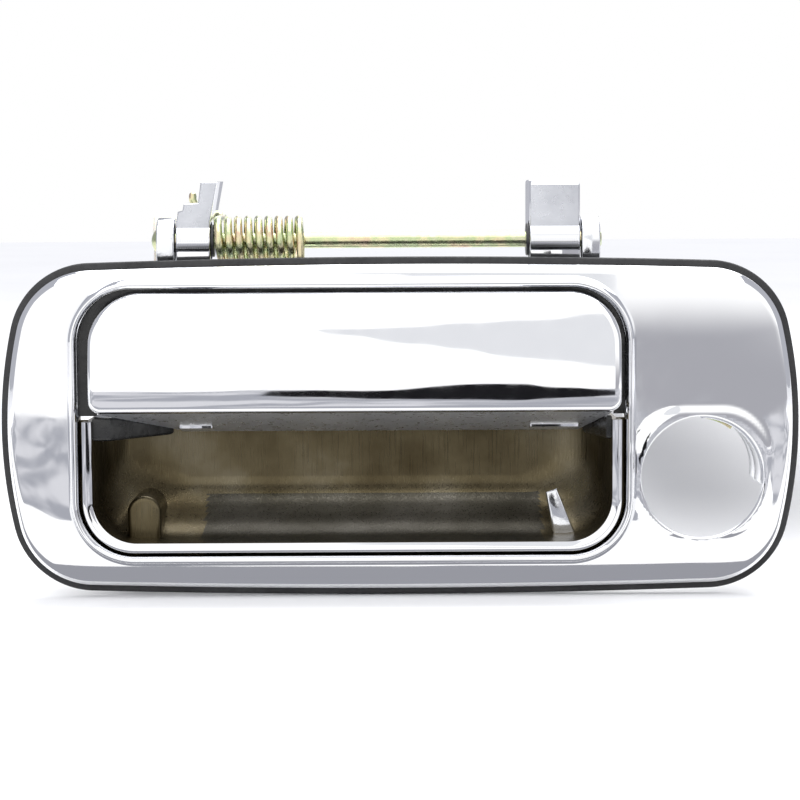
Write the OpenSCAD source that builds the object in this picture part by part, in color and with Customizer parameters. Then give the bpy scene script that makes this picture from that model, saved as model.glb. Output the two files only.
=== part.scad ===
/* [Bezel] */
// Width over the gasket, end to end
overall_w = 199.2; // [194:0.2:204]
// Height over the gasket, top to bottom
overall_h = 84.7; // [83:0.1:87]
// Corner radius of the gasket
corner_r = 20.6; // [17:0.1:24]
// Radius of the gentle bow of each end
end_bow_r = 115; // [105:1:150]
// Radius of the gentle bow of the long edges
long_bow_r = 2500; // [1500:100:4000]
// How far the casting sits inside the gasket's edge
gasket_show = 1.3; // [1:0.1:1.6]
// How far the main face stands in front of the door skin
face_depth = 6.4; // [6.2:0.1:6.8]
// How far the bead round the opening stands in front of the door skin
bead_depth = 8.6; // [8:0.1:8.8]
// Wall of the bezel casting
bezel_wall = 2.2; // [2:0.1:2.4]

/* [Gasket] */
// Thickness of the rubber gasket
gasket_t = 1.5; // [1:0.1:1.5]
// Width of the gasket's flat ring
gasket_ring = 4; // [3.5:0.1:4]

/* [Opening] */
// Left edge of the opening
open_x0 = -79.6; // [-80:0.1:-79.4]
// Right edge of the opening
open_x1 = 55.7; // [55.5:0.1:55.8]
// Lower edge of the opening
open_z0 = -31.5; // [-32:0.1:-31.4]
// Upper edge of the opening
open_z1 = 34.9; // [34.8:0.1:35]
// Corner radius of the opening
open_r = 13.5; // [13:0.1:14]
// Width of the bead round the opening
bead_w = 2; // [1.8:0.1:2.3]

/* [Lock] */
// Distance of the lock hole from the middle, along the handle
lock_x = 75; // [74.8:0.1:75.2]
// Height of the lock hole, below the middle
lock_z = -12.6; // [-13:0.1:-12.4]
// Radius of the lock hole
lock_r = 15.25; // [14.8:0.05:15.3]

/* [Hinge] */
// Hinge pin's distance behind the door skin's face
pin_y = 9; // [8.9:0.1:9.1]
// Hinge pin's height above the middle
pin_z = 46.2; // [46:0.1:46.4]
// Radius of the hinge pin
pin_r = 2; // [1.9:0.01:2.01]
// Radius of the hubs
hub_r = 5.2; // [5:0.1:5.4]
// Radius of the lugs
lug_r = 5.9; // [5.6:0.1:6]

/* [Paddle] */
// Left end of the paddle
paddle_x0 = -76.4; // [-76.8:0.1:-76]
// Right end of the paddle
paddle_x1 = 54.3; // [54:0.1:54.5]
// Upper edge of the paddle
paddle_z1 = 33.9; // [33.6:0.1:34]
// Lower edge of the paddle
paddle_z0 = 4.6; // [4.4:0.1:5]
// Radius of the paddle's upper corners
paddle_r = 12.5; // [11:0.1:14]
// How far the upper edge of the paddle stands in front of the door skin
paddle_edge = 9.4; // [9.3:0.1:9.6]
// How much further its belly stands out
paddle_belly = 4.8; // [4.4:0.1:5.2]

/* [Spring] */
// Wire radius of the return spring
wire_r = 1; // [0.9:0.05:1]
// Radius of the coil, to the middle of the wire
coil_r = 5.3; // [5.2:0.1:5.4]
// Number of turns
turns = 8.25; // [7.25:1:8.25]
// Pitch of the turns
pitch = 2.55; // [2.4:0.05:2.55]

/* [Hidden] */
$fn = 48;

// colours
chrome = [0.78, 0.79, 0.81];
satin = [0.62, 0.58, 0.5];
black = [0.08, 0.08, 0.08];
zinc = [0.76, 0.7, 0.42];
steel = [0.6, 0.6, 0.62];
nylon = [0.9, 0.88, 0.8];

// mounting bolts
boss_x = 87.8;
boss_z = 16;
boss_r = 4.5;
boss_y = 8;
insert_r = 3.9;
insert_len = 10;
bolt_r = 2.5;

// cup and its screws
seam = 0.7;
lip_w = 2.4;
cup_x0 = open_x0 + seam;
cup_x1 = open_x1 - seam;
cup_z0 = open_z0 + seam;
cup_top = 2;
cup_back_top = -1.5;
lip_y = -7.4;
cup_back = 24;
cup_wall = 1.6;
ear_w = 8;
ear_y0 = -0.2;
ear_t = 1.4;
screw_r = 1.25;
screw_head_r = 2.3;
screw_head_t = 1.8;
screw_len = 3.4;
screw_boss_r = 2.2;
screw_row = open_z0 - 3.6;
screw_spots = [[-60, screw_row], [-12, screw_row], [36, screw_row], [-87.4, -8]];

// lock clip: its place along the collar, and the arc it takes
clip_y = [5.4, 6.4];
clip_arc = [50, 84];

// rubber lip behind the gap round the paddle
seal_y = [-3.6, -2.6];
seal_side_w = 4.2;
seal_w = 2.6;
seal_z0 = 3.2;

// rows along the hinge pin
left_lug = [-60.8, -56.3];
left_hub = [-55.9, -47.3];
right_hub = [32.7, 45.3];
right_lug = [45.7, 50.3];
coil_x0 = -45.7;
bush_flange = 0.8;
bush_flange_r = 4.1;
bush_r = 3.1;
spring_rest = [-28, -21];

// latch lever, and the clip that holds the latch rod on it
lever_y = [5, 26.4];
lever_top = 61;
lever_foot = 43.5;
rod_y = 22.5;
rod_z = 48.2;
rod_pin_r = 2.5;
rod_r = 2.1;
clip_x = [-63, -56.2];
clip_r = 4.4;
clip_block = 3.3;
clip_drop = 8;
wire_y = lever_y[1] + wire_r + 0.3;

// ---- shapes ----

function arc(c, r, a0, a1, n) = [for (i = [0:n]) c + r * [cos(a0 + (a1 - a0) * i / n), sin(a0 + (a1 - a0) * i / n)]];
function flip(p, s) = [p[0] * s[0], p[1] * s[1]];
function back(list) = [for (i = [len(list) - 1:-1:0]) list[i]];

// the bezel's outline: bowed ends, bowed long edges and round corners, all tangent
function centre_x(angle) = overall_w / 2 - end_bow_r + (end_bow_r - corner_r) * cos(angle);
function bow_angle(z) = asin(z / (end_bow_r - corner_r));
rough_cx = centre_x(bow_angle(overall_h / 2 - corner_r));
corner_cz = overall_h / 2 - long_bow_r + sqrt((long_bow_r - corner_r) ^ 2 - rough_cx ^ 2);
end_angle = bow_angle(corner_cz);
corner_cx = centre_x(end_angle);
long_angle = acos(corner_cx / (long_bow_r - corner_r));
end_c = [overall_w / 2 - end_bow_r, 0];
long_c = [0, corner_cz - (long_bow_r - corner_r) * sin(long_angle)];

function quarter(grow) = concat(
    arc(end_c, end_bow_r + grow, 0, end_angle, 3),
    arc([corner_cx, corner_cz], corner_r + grow, end_angle, long_angle, 10),
    arc(long_c, long_bow_r + grow, long_angle, 90, 2));

module outline(grow) {
    q = quarter(grow);
    polygon(concat(q, back([for (p = q) flip(p, [-1, 1])]), [for (p = q) flip(p, [-1, -1])],
        back([for (p = q) flip(p, [1, -1])])));
}

// a flat rectangle with its own radius at the upper and the lower corners
module rounded(x0, x1, z0, z1, r_up, r_low) {
    polygon(concat(
        arc([x1 - r_up, z1 - r_up], r_up, 0, 90, 8),
        arc([x0 + r_up, z1 - r_up], r_up, 90, 180, 8),
        arc([x0 + r_low, z0 + r_low], r_low, 180, 270, 8),
        arc([x1 - r_low, z0 + r_low], r_low, 270, 360, 8)));
}

module opening(grow) {
    rounded(open_x0 - grow, open_x1 + grow, open_z0 - grow, open_z1 + grow, open_r + grow, open_r + grow);
}

// children drawn in x and z, standing from y0 to y1
module standing(y0, y1) {
    translate([0, y1, 0])
        rotate([90, 0, 0])
            linear_extrude(y1 - y0)
                children();
}

// children drawn in y and z, running from x0 to x1
module running(x0, x1) {
    translate([x0, 0, 0])
        rotate([90, 0, 90])
            linear_extrude(x1 - x0)
                children();
}

module bar_x(x0, x1, y, z, r) {
    translate([x0, y, z])
        rotate([0, 90, 0])
            cylinder(h = x1 - x0, r = r);
}

module bar_y(y0, y1, x, z, r) {
    translate([x, y1, z])
        rotate([90, 0, 0])
            cylinder(h = y1 - y0, r = r);
}

// ---- bezel and what is fixed to it ----

module lug(xs) {
    difference() {
        union() {
            bar_x(xs[0], xs[1], pin_y, pin_z, lug_r);
            running(xs[0], xs[1])
                polygon([[-bezel_wall * 2, open_z1 + 0.1], [pin_y + lug_r, open_z1 + 0.1],
                    [pin_y + lug_r, pin_z], [pin_y - lug_r, pin_z], [pin_y - lug_r, open_z1 + 2.4],
                    [-bezel_wall * 2, open_z1 + 2.4]]);
        }
        bar_x(xs[0] - 1, xs[1] + 1, pin_y, pin_z, pin_r);
    }
}

module lock_collar() {
    difference() {
        bar_y(-face_depth + bezel_wall, 14, lock_x, lock_z, lock_r + 2);
        bar_y(-face_depth, 15, lock_x, lock_z, lock_r - 0.7);
        // the collar stands only at the outer side, and is cut through for the clip
        standing(0, 15)
            translate([lock_x, lock_z])
                polygon([[0, 0], [0, 30], [-30, 30], [-30, -30], [30, -30], [30, -6]]);
        standing(clip_y[0], clip_y[1])
            translate([lock_x, lock_z])
                polygon(concat([[0, 0]], arc([0, 0], 30, clip_arc[0], clip_arc[1], 1)));
    }
}

module bezel() {
    color(chrome)
        difference() {
            union() {
                difference() {
                    union() {
                        standing(-3.4, -gasket_t) outline(-gasket_show);
                        standing(-4.8, -3.3) outline(-gasket_show - 0.8);
                        standing(-5.8, -4.7) outline(-gasket_show - 2.2);
                        standing(-face_depth, -5.7) outline(-gasket_show - 4.5);
                        standing(-bead_depth, -face_depth + 0.1) opening(bead_w);
                        bar_y(-face_depth - 0.6, -5, lock_x, lock_z, lock_r + 2.5);
                    }
                    // the hollow back, in two steps that follow the face
                    standing(-3.2, 1) outline(-gasket_show - bezel_wall);
                    standing(-face_depth + bezel_wall, -3.1) outline(-gasket_show - bezel_wall - 2);
                }
                // the wall round the opening and the bosses
                standing(-face_depth, -0.5) opening(1.8);
                for (side = [-1, 1])
                    bar_y(-5, boss_y, side * boss_x, boss_z, boss_r);
                for (s = screw_spots)
                    bar_y(-5, ear_y0, s[0], s[1], screw_boss_r);
                lock_collar();
                lug(left_lug);
                lug(right_lug);
                // an upstand for the free leg of the spring
                running(spring_rest[0], spring_rest[1])
                    polygon([[-4, open_z1 + 0.1], [5.9, open_z1 + 0.1], [5.9, open_z1 + 1.6], [2.5, open_z1 + 1.6],
                        [2.5, open_z1 + 2.8], [1, open_z1 + 2.8], [1, open_z1 + 2.4], [-4, open_z1 + 2.4]]);
            }
            standing(-bead_depth - 1, 1) opening(0);
            // the bead falls towards the opening, so that the paddle's upper edge clears it
            standing(-bead_depth - 1, -bead_depth + 1) opening(0.7);
            bar_y(-face_depth - 2, -face_depth + bezel_wall, lock_x, lock_z, lock_r);
            for (side = [-1, 1])
                bar_y(boss_y - insert_len, boss_y + 1, side * boss_x, boss_z, insert_r);
            for (s = screw_spots)
                bar_y(ear_y0 - screw_len, ear_y0 + 1, s[0], s[1], screw_r);
        }
}

module gasket() {
    color(black)
        standing(-gasket_t, 0)
            difference() {
                outline(0);
                outline(-gasket_ring);
            }
}

module thread_inserts() {
    color(steel)
        for (side = [-1, 1])
            difference() {
                bar_y(boss_y - insert_len, boss_y, side * boss_x, boss_z, insert_r);
                bar_y(boss_y - insert_len + 1, boss_y + 1, side * boss_x, boss_z, bolt_r);
            }
}

// a flat spring clip that slides into the collar's slot and holds the lock
module lock_clip() {
    color(zinc)
        standing(clip_y[0], clip_y[1])
            translate([lock_x, lock_z])
                polygon(concat(arc([0, 0], lock_r + 4, clip_arc[0], clip_arc[1], 8),
                    back(arc([0, 0], lock_r - 1.7, clip_arc[0], clip_arc[1], 8))));
}

module cup_inside() {
    intersection() {
        standing(lip_y - 1, cup_back - cup_wall)
            rounded(cup_x0 + lip_w, cup_x1 - lip_w, cup_z0 + lip_w, 30, 2, open_r - lip_w);
        // the floor runs level behind the lip, then climbs to the back wall
        running(cup_x0, cup_x1)
            polygon([[lip_y - 1, -28.5], [4, -28.3], [cup_back - cup_wall - 4, -22], [cup_back - cup_wall, -17],
                [cup_back - cup_wall, 30], [lip_y - 1, 30]]);
    }
}

module finger_cup() {
    color(satin)
        difference() {
            union() {
                intersection() {
                    standing(lip_y, cup_back)
                        rounded(cup_x0, cup_x1, cup_z0, 30, 2, open_r - seam);
                    // side walls end square, and the back wall is lower
                    running(cup_x0, cup_x1)
                        polygon([[lip_y, cup_z0], [5, cup_z0], [20, -24.2], [cup_back, -18.5], [cup_back, cup_back_top],
                            [16, cup_back_top], [14, cup_top], [lip_y, cup_top]]);
                }
                // ears for the screws
                for (i = [0:2])
                    standing(ear_y0, ear_y0 + ear_t)
                        translate([screw_spots[i][0] - ear_w / 2, screw_row - screw_boss_r])
                            square([ear_w, cup_z0 - screw_row + screw_boss_r + 1.5]);
                standing(ear_y0, ear_y0 + ear_t)
                    translate([screw_spots[3][0] - 3.4, screw_spots[3][1] - ear_w / 2])
                        square([cup_x0 - screw_spots[3][0] + 3.4 + 1.5, ear_w]);
            }
            cup_inside();
            for (s = screw_spots)
                bar_y(ear_y0 - 1, ear_y0 + ear_t + 1, s[0], s[1], screw_r + 0.2);
        }
}

module cup_screws() {
    color(steel)
        for (s = screw_spots) {
            bar_y(ear_y0 - screw_len + 0.2, ear_y0 + ear_t, s[0], s[1], screw_r - 0.05);
            difference() {
                bar_y(ear_y0 + ear_t, ear_y0 + ear_t + screw_head_t, s[0], s[1], screw_head_r);
                for (turn = [0, 90])
                    translate([s[0], ear_y0 + ear_t + screw_head_t, s[1]])
                        rotate([0, turn, 0])
                            cube([3.2, 1.6, 0.7], center = true);
            }
        }
}

// rubber wedges that the paddle's lower corners close against
module bump_stop(xs, slant) {
    color(black)
        intersection() {
            translate([min(xs), -5, -3])
                cube([abs(xs[1] - xs[0]), 15, 6]);
            translate([0, 0, -3])
                linear_extrude(6)
                    polygon([[xs[0], -5], [slant[0], -5], [slant[1], 10], [xs[0], 10]]);
        }
}

module left_bump_stop() {
    bump_stop([cup_x0 + lip_w, -57.6], [-72, -57.6]);
}

module right_bump_stop() {
    bump_stop([cup_x1 - lip_w, 46.4], [51.2, 46.4]);
}

// a thin rubber lip behind the gap at the paddle's sides and upper edge
module paddle_seal() {
    color(black)
        standing(seal_y[0], seal_y[1])
            difference() {
                opening(0);
                rounded(open_x0 + seal_side_w, open_x1 - seal_w, seal_z0 - 10, open_z1 - seal_w, open_r - seal_w, 2);
                translate([open_x0 - 1, open_z0 - 1])
                    square([open_x1 - open_x0 + 2, seal_z0 - open_z0 + 1]);
            }
}

module hinge_pin() {
    color(zinc) {
        bar_x(left_lug[0] - 0.4, right_lug[1] + 0.6, pin_y, pin_z, pin_r);
        translate([left_lug[0], pin_y, pin_z])
            rotate([0, -90, 0])
                rotate_extrude()
                    polygon(concat([[0, 0]], [[3.2, 0]], arc([0, -2.4], 4, 37, 90, 6)));
    }
}

// ---- return spring: one wire, a leg at each end ----

function coil_point(a) = [coil_x0 + pitch * (a - 90) / 360, pin_y + coil_r * cos(a), pin_z + coil_r * sin(a)];
coil_top = pin_z + coil_r;
coil_end = 90 + turns * 360;
steps_a_turn = 20;
// the upper leg runs back beside the lever and hooks up behind it, the lower one hangs to the upstand
spring_path = concat(
    [[-53.5, wire_y, 58.2], [-53.5, wire_y, 56.4], [-52.8, wire_y, 55], [-48, wire_y, coil_top + 1.4],
        [-46, wire_y - 0.4, coil_top + 0.6], [coil_x0 + 0.2, wire_y - 2, coil_top + 0.1]],
    [for (a = [90:360 / steps_a_turn:coil_end + 0.1]) coil_point(a)],
    [[coil_point(coil_end)[0], pin_y - coil_r, pin_z - 3], [coil_point(coil_end)[0], pin_y - coil_r, open_z1 + 1.8]]);

function unit(v) = v / norm(v);
function heading(i) = unit(spring_path[min(i + 1, len(spring_path) - 1)] - spring_path[max(i - 1, 0)]);
// a ring of the wire lies in the plane of the heading's two normals
function ring(i) =
    let (h = heading(i), s = unit(cross(h, [1, 0, 0.01])), u = cross(s, h))
        [for (k = [0:5]) spring_path[i] + wire_r * (cos(60 * k) * s + sin(60 * k) * u)];

module return_spring() {
    n = len(spring_path);
    points = [for (i = [0:n - 1]) each ring(i)];
    walls = [for (i = [0:n - 2], k = [0:5])
        [i * 6 + k, i * 6 + (k + 1) % 6, (i + 1) * 6 + (k + 1) % 6, (i + 1) * 6 + k]];
    color(zinc)
        polyhedron(points, concat([[5, 4, 3, 2, 1, 0]], walls, [[for (k = [0:5]) (n - 1) * 6 + k]]), convexity = 10);
}

// ---- paddle and what turns with it ----

function face_y(t) = -paddle_edge - paddle_belly * sin(115 * t);
function face_z(t) = paddle_z1 - (paddle_z1 - paddle_z0) * t;
face_line = [for (i = [0:12]) [face_y(i / 12), face_z(i / 12)]];
face_t = 1.5;
skirt_y = -4.6;
skirt_top = 22;
flange_back = 12;

module paddle_outline(inset) {
    rounded(paddle_x0 + inset, paddle_x1 - inset, paddle_z0 + inset, paddle_z1 - inset, paddle_r - inset, 3 - inset);
}

// the curved front, hollow behind, with a short skirt along its lower part
module paddle_shell() {
    difference() {
        intersection() {
            standing(-20, 0) paddle_outline(0);
            running(paddle_x0, paddle_x1)
                polygon(concat(face_line, [[skirt_y, paddle_z0], [skirt_y, skirt_top],
                    [face_y(0) + face_t, skirt_top + 8], [face_y(0) + face_t, paddle_z1]]));
        }
        intersection() {
            union() {
                standing(-20, 0) paddle_outline(face_t);
                translate([paddle_x0 - 1, -20, skirt_top])
                    cube([paddle_x1 - paddle_x0 + 2, 20, 20]);
            }
            running(paddle_x0 - 1, paddle_x1 + 1)
                polygon(concat([for (p = face_line) p + [face_t, 0]], [[1, paddle_z0], [1, paddle_z1 + 1],
                    [face_y(0) + face_t, paddle_z1 + 1]]));
        }
    }
}

// the flange that the fingers pull on
module paddle_flange() {
    intersection() {
        running(paddle_x0, paddle_x1)
            polygon([[-11.5, paddle_z0 + 0.1], [flange_back, -2.4], [flange_back, -0.8], [-11, paddle_z0 + 1.9]]);
        translate([0, 0, -20])
            linear_extrude(40)
                polygon([[paddle_x0 + 2, -12], [paddle_x1 - 2, -12], [paddle_x1 - 2.6, -8], [45.3, flange_back + 1],
                    [-54, flange_back + 1], [paddle_x0 + 3.5, -8]]);
    }
}

module arm(xs, lever) {
    difference() {
        union() {
            bar_x(xs[0], xs[1], pin_y, pin_z, hub_r);
            running(xs[0], xs[1])
                polygon([[5, -0.9], [flange_back, -2.4], [13, 4], [13.2, 40], [pin_y + hub_r, pin_z],
                    [pin_y - hub_r, pin_z], [4.6, 40], [5, 34]]);
            children();
        }
        bar_x(xs[0] - 1, xs[1] + 1, pin_y, pin_z, bush_r);
    }
}

module lever_side() {
    polygon([[lever_y[0], pin_z + 2], [lever_y[0] + 0.4, lever_top - 1], [lever_y[0] + 2, lever_top],
        [lever_y[1] - 1, lever_top], [lever_y[1], lever_top - 1], [lever_y[1], lever_foot + 2],
        [lever_y[1] - 2, lever_foot], [pin_y + hub_r - 1, lever_foot]]);
}

module paddle() {
    color(chrome) {
        difference() {
            union() {
                paddle_shell();
                paddle_flange();
                arm(left_hub)
                    // the latch lever steps back towards the middle as it rises
                    intersection() {
                        running(left_hub[0], -44.8) lever_side();
                        standing(0, 30)
                            polygon([[left_hub[0], lever_foot], [left_hub[0], 50.8], [-55.4, 53.6], [-54.2, 53.9],
                                [-53.9, 55.6], [-50.3, 55.8], [-49.6, lever_top], [-45.4, lever_top],
                                [left_hub[1], 51], [left_hub[1], lever_foot]]);
                    }
                arm(right_hub)
                    running(right_hub[0], right_hub[1]) lever_side();
            }
            bar_x(left_hub[0] - 1, left_hub[1] + 1, rod_y, rod_z, rod_pin_r + 0.05);
        }
    }
}

module hub_bush(xs, flange_side) {
    color(black)
        difference() {
            union() {
                bar_x(xs[0], xs[1], pin_y, pin_z, bush_r - 0.02);
                bar_x(flange_side > 0 ? xs[1] : xs[0] - bush_flange, flange_side > 0 ? xs[1] + bush_flange : xs[0],
                    pin_y, pin_z, bush_flange_r);
            }
            bar_x(xs[0] - 2, xs[1] + 2, pin_y, pin_z, pin_r + 0.05);
        }
}

module left_hub_bush() {
    hub_bush(left_hub, 1);
}

module right_hub_bush() {
    hub_bush(right_hub, -1);
}

module rod_clip() {
    color(nylon) {
        bar_x(clip_x[1] - 0.1, left_hub[1] - 0.3, rod_y, rod_z, rod_pin_r);
        difference() {
            union() {
                bar_x(clip_x[0], clip_x[1], rod_y, rod_z, clip_r);
                translate([clip_x[0], rod_y - clip_block, rod_z - clip_drop])
                    cube([clip_x[1] - clip_x[0], clip_block * 2, clip_drop]);
            }
            bar_x(clip_x[0] - 1, clip_x[1] - 1, rod_y, rod_z - clip_drop + clip_block, rod_r);
        }
    }
}

bezel();
finger_cup();
cup_screws();
gasket();
thread_inserts();
lock_clip();
left_bump_stop();
right_bump_stop();
paddle_seal();
hinge_pin();
return_spring();
paddle();
left_hub_bush();
right_hub_bush();
rod_clip();
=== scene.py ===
# %% [markdown]
# # A chromed door handle that pulls out
#
# The handle is a bezel with a finger cup behind its opening, and a paddle that swings on a pin above it.
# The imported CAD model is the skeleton: it says where every piece is and how it moves. This lesson builds the
# polished surfaces that stand for those pieces, and each of them rides on the CAD body of the piece it replaces.

# %% Load the frame
import math

import bmesh
import bpy
import numpy as np
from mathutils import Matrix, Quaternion, Vector


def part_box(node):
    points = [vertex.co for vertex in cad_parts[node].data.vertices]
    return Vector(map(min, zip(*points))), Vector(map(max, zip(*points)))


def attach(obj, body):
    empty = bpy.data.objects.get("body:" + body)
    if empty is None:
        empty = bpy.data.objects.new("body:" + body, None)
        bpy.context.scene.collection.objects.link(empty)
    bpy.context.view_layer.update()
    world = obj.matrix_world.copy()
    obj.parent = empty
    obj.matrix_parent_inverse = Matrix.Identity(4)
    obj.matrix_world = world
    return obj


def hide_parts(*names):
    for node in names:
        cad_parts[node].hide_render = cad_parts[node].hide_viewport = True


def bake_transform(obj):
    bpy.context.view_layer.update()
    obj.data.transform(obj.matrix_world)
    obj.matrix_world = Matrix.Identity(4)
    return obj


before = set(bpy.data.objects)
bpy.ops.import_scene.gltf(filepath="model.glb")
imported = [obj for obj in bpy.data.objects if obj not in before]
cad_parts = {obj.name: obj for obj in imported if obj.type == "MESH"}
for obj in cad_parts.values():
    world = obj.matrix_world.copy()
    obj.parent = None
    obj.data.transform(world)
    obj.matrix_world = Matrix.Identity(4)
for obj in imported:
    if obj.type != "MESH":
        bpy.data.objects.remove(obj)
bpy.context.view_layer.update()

# %% [markdown]
# ## Camera
# A handle is drawn square to its face, so a long lens stands well back and a little above the middle.

# %% Camera
AIM = Vector((0, 0, 0.0065))
REACH = 0.6
TILT = math.radians(5.5)
ROLL = math.radians(-0.3)
camera = bpy.data.objects.new("camera", bpy.data.cameras.new("camera"))
bpy.context.scene.collection.objects.link(camera)
bpy.context.scene.camera = camera
camera.data.sensor_width = 36
camera.data.lens = 108
camera.location = AIM + REACH * Vector((0, -math.cos(TILT), math.sin(TILT)))
camera.rotation_mode = "QUATERNION"
camera.rotation_quaternion = (AIM - camera.location).to_track_quat("-Z", "Y") @ Quaternion((0, 0, 1), ROLL)
bpy.context.scene.view_settings.view_transform = "Standard"
print("lens", camera.data.lens, "mm")

# %% [markdown]
# ## Tools for making surfaces
# A surface is a grid of points, rows by columns, worked out as whole arrays in millimetres.

# %% Grids
MM = 0.001


def sheet(points, wrap_rows=False, wrap_cols=False):
    """Points and quads of a rows x columns x 3 grid.
    Each cell joins four neighbouring points, and a wrapped direction joins its last line to its first."""
    rows, cols = points.shape[:2]
    i = np.arange(rows - (not wrap_rows))[:, None]
    j = np.arange(cols - (not wrap_cols))[None, :]
    below, right = (i + 1) % rows * cols, (j + 1) % cols
    quads = np.stack([i * cols + j, i * cols + right, below + right, below + j], -1)
    return points.reshape(-1, 3), quads.reshape(-1, 4).tolist()


def place(u, v, w, axis):
    """A profile's two coordinates and the distance along the axis, in x, y, z order."""
    order = {"x": (w, u, v), "y": (u, w, v), "z": (u, v, w)}[axis]
    return np.stack(np.broadcast_arrays(*order), -1)

# %% [markdown]
# Three kinds of surface make most of the hardware: an outline pushed along an axis, an outline turned round one, and
# a round wire that follows a path.

# %% Plates
def plate(profile, start, end, axis="x", edge=0.4, steps=4):
    """A flat outline pushed along an axis. At each end its ring is drawn in by edge (1 - sin a) while it advances by
    edge (1 - cos a), a quarter circle, so every edge is rounded."""
    p = np.asarray(profile, float)
    if np.sum(p[:, 0] * np.roll(p[:, 1], -1) - np.roll(p[:, 0], -1) * p[:, 1]) < 0:
        p = p[::-1]
    side = np.roll(p, -1, 0) - p
    out = np.stack([side[:, 1], -side[:, 0]], -1) / np.linalg.norm(side, axis=1)[:, None]
    mitre = out + np.roll(out, 1, 0)
    mitre /= (1 + np.sum(out * np.roll(out, 1, 0), 1))[:, None]
    a = np.linspace(0, np.pi / 2, steps + 1)
    inset = edge * (1 - np.sin(a))
    along = edge * (1 - np.cos(a))
    inset, along = np.append(inset, inset[::-1]), np.append(start + along, (end - along)[::-1])
    rings = p[None] - mitre[None] * inset[:, None, None]
    points, faces = sheet(place(rings[..., 0], rings[..., 1], along[:, None], axis), wrap_cols=True)
    n = len(p)
    return points, faces + [list(range(n)), list(range(len(points) - n, len(points)))]

# %% Lathes and tubes
def lathe(profile, centre, axis="x", n=64, hollow=False):
    """(radius, height) pairs carried round an axis through centre, a point in the other two directions.
    A solid's profile starts and ends on the axis; a hollow one closes on itself."""
    r, h = np.asarray(profile, float).T
    a = np.arange(n) * 2 * np.pi / n
    u, v = centre[0] + r[:, None] * np.cos(a), centre[1] + r[:, None] * np.sin(a)
    return sheet(place(u, v, h[:, None], axis), wrap_rows=hollow, wrap_cols=True)


def tube(path, radius, sides=20):
    """A round wire: rings square to the path, carried along it without twist, with a rounded tip at each end."""
    path = np.asarray(path, float)
    tip = np.radians([90, 60, 30])
    heads = [path[0] + radius * 0.6 * (1 - np.sin(tip))[:, None] * unit(path[1] - path[0]),
             path[-1] + radius * 0.6 * (1 - np.sin(tip[::-1]))[:, None] * unit(path[-2] - path[-1])]
    path = np.concatenate([heads[0], path[1:-1], heads[1]])
    r = np.full(len(path), float(radius))
    r[:3], r[-3:] = radius * np.cos(tip), radius * np.cos(tip[::-1])
    heading = unit(np.gradient(path, axis=0))
    side = [unit(np.cross(heading[0], (0.3, 0.2, 1)))]
    for h in heading[1:]:
        side.append(unit(side[-1] - h * (side[-1] @ h)))
    side = np.array(side)[:, None]
    up = np.cross(heading[:, None], side)
    a = (np.arange(sides) * 2 * np.pi / sides)[None, :, None]
    return sheet(path[:, None] + r[:, None, None] * (side * np.cos(a) + up * np.sin(a)), wrap_cols=True)


def unit(v):
    """A vector, or each row of an array, at length one."""
    return v / np.linalg.norm(v, axis=-1, keepdims=True)

# %% [markdown]
# A piece is made of one or more closed surfaces. Its doubles are merged, slivers left between two grids are filled,
# its faces are turned outwards, and its edges are sharp only where two faces meet at more than a stated angle.

# %% Making a piece
def piece(name, parts, finish, stands_for=(), body="bezel_body", sharp=38, ride=True):
    """One object from (points, faces) parts in millimetres, riding on its body and standing for its CAD nodes."""
    first = np.cumsum([0] + [len(points) for points, _ in parts])
    points = np.concatenate([points for points, _ in parts]) * MM
    faces = [[i + start for i in face] for start, (_, part) in zip(first, parts) for face in part]
    mesh = bpy.data.meshes.new(name)
    mesh.from_pydata(points, [], faces)
    bm = bmesh.new()
    bm.from_mesh(mesh)
    bmesh.ops.remove_doubles(bm, verts=bm.verts, dist=2e-6)
    bmesh.ops.dissolve_degenerate(bm, edges=bm.edges, dist=1e-7)
    bmesh.ops.delete(bm, geom=[v for v in bm.verts if not v.link_faces], context="VERTS")
    bmesh.ops.holes_fill(bm, edges=[e for e in bm.edges if e.is_boundary], sides=10)
    bmesh.ops.recalc_face_normals(bm, faces=bm.faces)
    open_edges = sum(not e.is_manifold for e in bm.edges)
    bm.to_mesh(mesh)
    bm.free()
    mesh.shade_smooth()
    mesh.set_sharp_from_angle(angle=math.radians(sharp))
    mesh.materials.append(finish)
    made = bpy.data.objects.new(name, mesh)
    bpy.context.scene.collection.objects.link(made)
    if stands_for:
        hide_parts(*stands_for)
    if ride:
        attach(made, body)
    print(f"{name}: {len(mesh.polygons)} faces, {open_edges} open edges")
    return made


def second_finish(made, finish, chosen):
    """Gives a second finish to the faces that a test picks by their centres in millimetres and their normals."""
    centre, normal = np.zeros((2, len(made.data.polygons) * 3))
    made.data.polygons.foreach_get("center", centre)
    made.data.polygons.foreach_get("normal", normal)
    picked = chosen(centre.reshape(-1, 3) / MM, normal.reshape(-1, 3))
    slot = np.zeros(len(picked), int)
    made.data.polygons.foreach_get("material_index", slot)
    made.data.materials.append(finish)
    slot[picked] = len(made.data.materials) - 1
    made.data.polygons.foreach_set("material_index", slot)
    print(f"{made.name}: {picked.sum()} faces in {finish.name}")


print("a plate with four corners has", len(plate([(0, 0), (9, 0), (9, 9), (0, 9)], 0, 2)[1]), "faces")

# %% [markdown]
# ## Finishes
# Chrome is a mirror, so its colour is what it reflects. What makes it look plated is that the casting under it was
# polished by hand: the surface rolls very slightly, and its gloss changes a little from place to place.

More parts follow.
